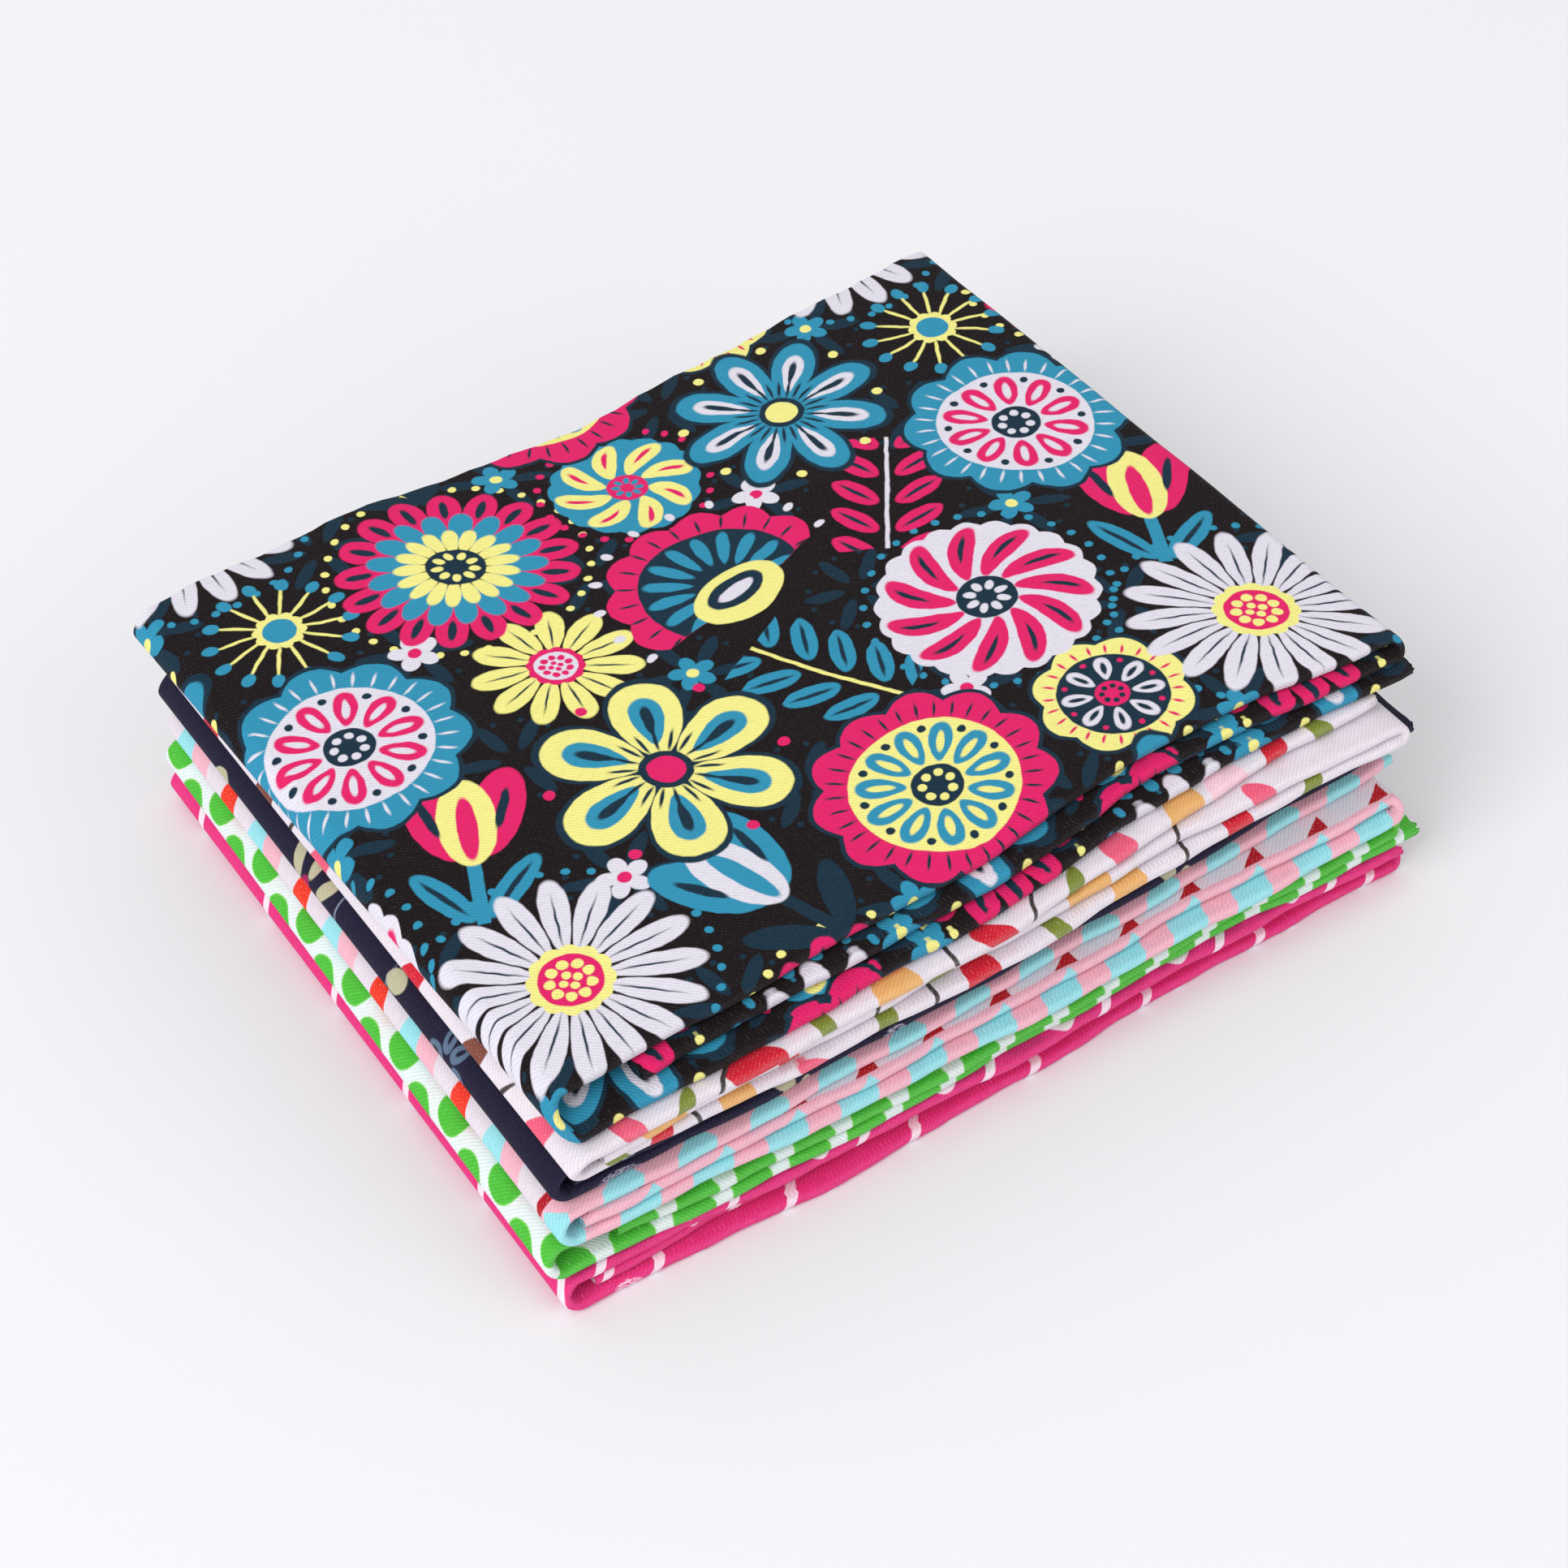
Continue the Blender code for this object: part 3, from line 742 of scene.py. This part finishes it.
# Navy: beige ovals, grey blue leaves, small magenta flowers and fine pale curls
navyBlooms = {
    "order": 3, "lead": "top", "pocket": 1.0, "leadTip": 171.6, "turnTip": 168.0,
    "left": -1.8, "leftSkew": 3.6, "rightSkew": 1.0, "back": (136.5, 135.4, 135.0, 136.4, 137.0),
    "top": (4.2, 3.0, 2.5, 2.5, -1.5), "middle": (4.0, 2.2, 1.5, 1.5, 0.0), "bottom": (3.6, 1.7, 0.9, 1.0, 1.5),
    "repeat": (78.0, 132.0), "ground": ink(30, 27, 50),
    # way round the round end, way back, half length, half width, tilt, ink
    "leaves": (
        (-1.5, 51.0, 2.6, 1.7, 80, "beige"), (1.0, 112.0, 2.8, 1.8, 70, "beige"),
        (38.0, 110.0, 6.0, 2.4, 30, "grey"), (-36.0, 128.0, 5.0, 2.2, 60, "beige"),
    ),
    "spray": (4.0, 80.0), "bud": (0.5, 33.0), "beads": (-31.0, 2.0),
    "curls": (((6.0, 18.0), 7.0), ((-2.0, 62.0), 9.0), ((52.0, 18.0), 8.0)),  # middle and radius
    "beige": ink(186, 182, 152), "grey": ink(92, 112, 136), "magenta": ink(170, 30, 88), "curl": ink(148, 156, 178),
}


def printNavy(cut):
    leftEnd = alongCut(cut, cut["lead"], cut["left"])
    screens = Screens("navy_cotton", cut["ground"], (leftEnd, foldLine))
    repeat = cut["repeat"]
    spray = screens.spot(cut["spray"], repeat, 20)
    screens.lay(screens.ring(spray, 9, 7.6, 2.9, 1.25), cut["beige"])
    screens.lay(screens.ring(spray, 5, 2.6, 2.4, 1.5), cut["magenta"])
    bud = screens.spot(cut["bud"], repeat, 35)
    screens.lay(screens.ring(bud, 6, 3.3, 2.0, 1.3), cut["grey"])
    screens.lay(screens.ring(bud, 6, 3.5, 0.9, 0.4), cut["ground"])
    for across, back, reach, width, tilt, shade in cut["leaves"]:
        spot = screens.spot((across, back), repeat, tilt, False)
        screens.lay(screens.oval(spot, (0.0, 0.0), reach, width), cut[shade])
    beads = screens.spot(cut["beads"], (repeat[0], repeat[1] / 2), 8, False)
    for place in (-3.4, 0.0, 3.6):
        screens.lay(screens.oval(beads, (place, 0.3 * place), 1.3, 2.3), cut["beige"])
    for at, radius in cut["curls"]:
        spot = screens.spot(at, repeat, 30)
        sweep = screens.bar(screens.math("ADD", spot["turns"], 0.05), 0.24)
        screens.lay(screens.both(screens.band(spot, radius, 0.22), sweep), cut["curl"])
    for third, x, reach in (("middle", 9.5, 4.4), ("bottom", 10.5, 4.0), ("bottom", 62.0, 2.2)):
        screens.fray((alongCut(cut, third, x) - leftEnd, 0.6), reach, 1.3, 6, ink(168, 164, 184))
    return finishCotton(screens, ink(96, 92, 118), 0.16)


# Pink and aqua: bars along the fold, a pale band hung with red points, and teardrops on the round end
pinkAqua = {
    "order": 2, "lead": "top", "pocket": 1.5, "leadTip": 169.3, "turnTip": 167.0,
    "left": -2.6, "leftSkew": 4.4, "rightSkew": 0.0, "back": (135.0, 136.6, 137.0, 135.8, 136.0),
    "top": (1.6, -0.1, -0.5, -0.5, -0.1), "middle": (1.4, -1.3, -3.0, -3.6, -6.2), "bottom": (0.8, -2.7, -5.4, -6.7, -8.1),
    "slip": {"lead": 0.0, "far": -1.5, "middle": 3.4},  # how far the print lies off the fold on each third
    "barPitch": 13.4, "barRow": 27.2, "barReach": 5.2, "lean": 0.35,
    "pale": ink(224, 214, 223), "pink": ink(238, 178, 194), "aqua": ink(150, 220, 228),
    "point": ink(176, 26, 38), "drop": ink(236, 56, 36),
}


def printPinkAqua(cut):
    start = alongCut(cut, cut["lead"], 9.9)
    screens = Screens("pink_aqua_cotton", cut["pale"], (start, foldLine))
    pitch, row = cut["barPitch"], cut["barRow"]
    spot = screens.spot((0.0, 0.0), None, 0.0, False)
    over = screens.math("WRAP", spot["y"], row / 2, -row / 2)
    leaning = screens.math("MULTIPLY_ADD", over, cut["lean"], spot["x"])
    inBars = screens.bar(over, cut["barReach"])
    screens.lay(inBars, cut["pink"])
    fromBar = screens.math("ABSOLUTE", screens.math("WRAP", leaning, pitch / 2, -pitch / 2))
    tapered = screens.math("MULTIPLY_ADD", screens.math("MAXIMUM", over, 1.5), 1.09, fromBar)
    screens.lay(screens.both(inBars, screens.inside(tapered, 5.3)), cut["aqua"])
    # red points that hang from the edge of the pale band
    drop = screens.math("SUBTRACT", screens.math("ABSOLUTE", over), cut["barReach"])
    slanting = screens.math("ADD", screens.math("MULTIPLY_ADD", over, 2 * cut["lean"], spot["x"]), -2.1)
    side = screens.math("ABSOLUTE", screens.math("WRAP", slanting, pitch / 2, -pitch / 2))
    narrowing = screens.math("MULTIPLY_ADD", drop, 0.72, side)
    hung = screens.both(screens.inside(narrowing, 2.3), screens.inside(screens.math("MULTIPLY", drop, -1.0), 0.0))
    screens.lay(hung, cut["point"])
    # the round end: pale, pink and aqua wedges with a red drop between them
    leftEnd = alongCut(cut, cut["lead"], cut["left"]) + 1.0
    end = screens.spot((leftEnd - start, 10.0), (1000.0, 27.0), 0, False)
    nearEnd = screens.bar(end["x"], 11.0)
    beyond = screens.inside(screens.math("MULTIPLY", spot["y"], -1.0), -7.0)
    onEnd = screens.both(nearEnd, beyond)
    slant = screens.math("MULTIPLY_ADD", end["x"], 0.55, end["y"])
    screens.lay(onEnd, cut["pale"])
    screens.lay(screens.both(onEnd, screens.bar(screens.math("SUBTRACT", slant, 4.8), 3.0)), cut["pink"])
    screens.lay(screens.both(onEnd, screens.bar(screens.math("SUBTRACT", slant, 10.4), 3.0)), cut["aqua"])
    screens.lay(screens.both(onEnd, screens.oval(end, (0.0, -6.0), 5.6, 2.3, -24)), cut["drop"])
    return finishCotton(screens, ink(250, 244, 248), 0.14)


# Green dots on white, staggered
greenDots = {
    "order": 1, "lead": "bottom", "pocket": 10.0, "leadTip": 171.0, "turnTip": 167.6, "fray": 0.5, "roundEnd": 0.72,
    "left": -4.9, "leftSkew": 5.6, "rightSkew": -3.0, "back": (136.0, 134.8, 135.4, 136.6, 136.2),
    "top": (2.6, 0.0, -2.0, -3.0, -5.0), "middle": (2.4, -1.8, -4.3, -4.5, -7.2), "bottom": (1.4, -2.3, -3.5, -4.2, -7.1),
    "acrossPitch": 10.8, "alongPitch": 16.7, "dotRadius": 3.75, "firstDot": 8.7,
    "ground": ink(224, 234, 233), "green": ink(78, 186, 58), "rim": ink(120, 204, 84),
}


def printGreenDots(cut):
    screens = Screens("green_dots_cotton", cut["ground"], (alongCut(cut, "top", cut["firstDot"]), foldLine))
    pitch = (cut["acrossPitch"], cut["alongPitch"])
    for at in ((0.0, 0.0), (pitch[0] / 2, pitch[1] / 2)):
        spot = screens.spot(at, pitch)
        screens.lay(screens.disc(spot, cut["dotRadius"] + 0.12), cut["rim"])
        screens.lay(screens.disc(spot, cut["dotRadius"] - 0.12), cut["green"])
    tornEnd = alongCut(cut, "bottom", 170.6) - alongCut(cut, "top", cut["firstDot"])
    corner = screens.spot((tornEnd, 0.4), None, 0.0, False)
    screens.lay(screens.oval(corner, (0.0, 0.0), 2.9, 3.4), cut["green"])
    return finishCotton(screens, ink(200, 236, 190), 0.16)


# Hot pink with a white trellis, at the bottom
hotPink = {
    "order": 0, "lead": "top", "pocket": 3.0, "leadTip": 167.6, "turnTip": 170.0,
    "left": -3.2, "leftSkew": 4.2, "rightSkew": -0.5, "back": (136.8, 136.2, 135.2, 136.0, 134.8),
    "top": (1.0, -2.2, -4.7, -5.0, -7.4), "middle": (0.8, -0.6, -2.3, -2.5, -5.0), "bottom": (0.0, -3.8, -4.6, -4.7, -6.4),
    "pitch": 24.6, "line": 0.95, "bow": 3.0, "arch": 7.0, "crest": 7.5, "crestOff": 1.6,
    "ground": ink(226, 52, 126), "white": ink(246, 224, 236),
}


def printHotPink(cut):
    screens = Screens("hot_pink_cotton", cut["ground"], (alongCut(cut, "bottom", 13.5), foldLine))
    pitch, line = cut["pitch"], cut["line"]
    spot = screens.spot((0.0, 0.0), None, 0.0, False)
    turns = 2 * math.pi / pitch
    sway = screens.math("SINE", screens.math("MULTIPLY", spot["y"], turns))
    upright = screens.math("MULTIPLY_ADD", sway, cut["bow"], spot["x"])
    screens.lay(screens.bar(screens.math("WRAP", upright, pitch / 2, -pitch / 2), line), cut["white"])
    arch = screens.math("COSINE", screens.math("MULTIPLY_ADD", spot["x"], turns, -turns * cut["crest"]))
    level = screens.math("MULTIPLY_ADD", arch, cut["arch"], spot["y"])
    level = screens.math("ADD", level, -cut["arch"] - cut["crestOff"])
    screens.lay(screens.bar(screens.math("WRAP", level, pitch / 2, -pitch / 2), line), cut["white"])
    for third, x, reach in (("bottom", 8.5, 2.8), ("middle", 70.0, 1.8)):
        at = alongCut(cut, third, x) - alongCut(cut, "bottom", 13.5)
        screens.fray((at, 0.8), reach, 1.6, 10, ink(252, 206, 226))
    return finishCotton(screens, ink(244, 150, 190), 0.16)


cuts = (
    ("quarter_1_dark_floral", darkFloral, printDarkFloral),
    ("quarter_2_white_floral", whiteFloral, printWhiteFloral),
    ("quarter_3_navy", navyBlooms, printNavy),
    ("quarter_4_pink_aqua", pinkAqua, printPinkAqua),
    ("quarter_5_green_dots", greenDots, printGreenDots),
    ("quarter_6_hot_pink", hotPink, printHotPink),
)


def layBundle():
    pieces = {}
    for name, cut, printCloth in cuts:
        cut["base"] = cut["order"] * 3 * bundle["pitch"]
        pieces[name] = foldCut(name, cut, printCloth(cut))
        print("folded", name, len(pieces[name].data.vertices), "points", len(pieces[name].active_material.node_tree.nodes), "nodes")
    names = [name for name, _, _ in cuts]
    for place, name in enumerate(names):
        piece = pieces[name]
        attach(piece, "root")
        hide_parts(name)
        name.split("_", 2)[2] + "_cotton"


layBundle()


# Floor and light
studio = {
    "floorSize": 3.0, "floorColor": (0.84, 0.84, 0.87, 1.0), "ambient": 0.75,
    "lamps": (
        # name, place, size, watts
        ("front right", (0.90, -2.05, 1.45), 1.6, 8.0),
        ("left", (-2.00, -0.40, 1.75), 1.6, 34.0),
        ("back", (0.00, 1.80, 2.00), 1.6, 2.0),
    ),
}


def setStudio(studio):
    floor = bmesh.new()
    bmesh.ops.create_grid(floor, x_segments=2, y_segments=2, size=studio["floorSize"] / 2)
    mesh = bpy.data.meshes.new("floor")
    floor.to_mesh(mesh)
    floor.free()
    plain = bpy.data.materials.new("pale_floor")
    plain.use_nodes = True
    plain.node_tree.nodes["Principled BSDF"].inputs["Base Color"].default_value = studio["floorColor"]
    plain.node_tree.nodes["Principled BSDF"].inputs["Roughness"].default_value = 0.9
    mesh.materials.append(plain)
    ground = bpy.data.objects.new("floor", mesh)
    bpy.context.scene.collection.objects.link(ground)
    for name, place, size, watts in studio["lamps"]:
        lamp = bpy.data.lights.new(name, "AREA")
        lamp.energy = watts
        lamp.size = size
        holder = bpy.data.objects.new(name, lamp)
        holder.location = place
        holder.rotation_euler = (-Vector(place)).to_track_quat("-Z", "Y").to_euler()
        bpy.context.scene.collection.objects.link(holder)
    world = bpy.data.worlds.new("studio")
    world.use_nodes = True
    world.node_tree.nodes["Background"].inputs["Color"].default_value = (1.0, 1.0, 1.0, 1.0)
    world.node_tree.nodes["Background"].inputs["Strength"].default_value = studio["ambient"]
    bpy.context.scene.world = world
    bpy.context.scene.view_settings.view_transform = "Standard"


setStudio(studio)
print("studio set")
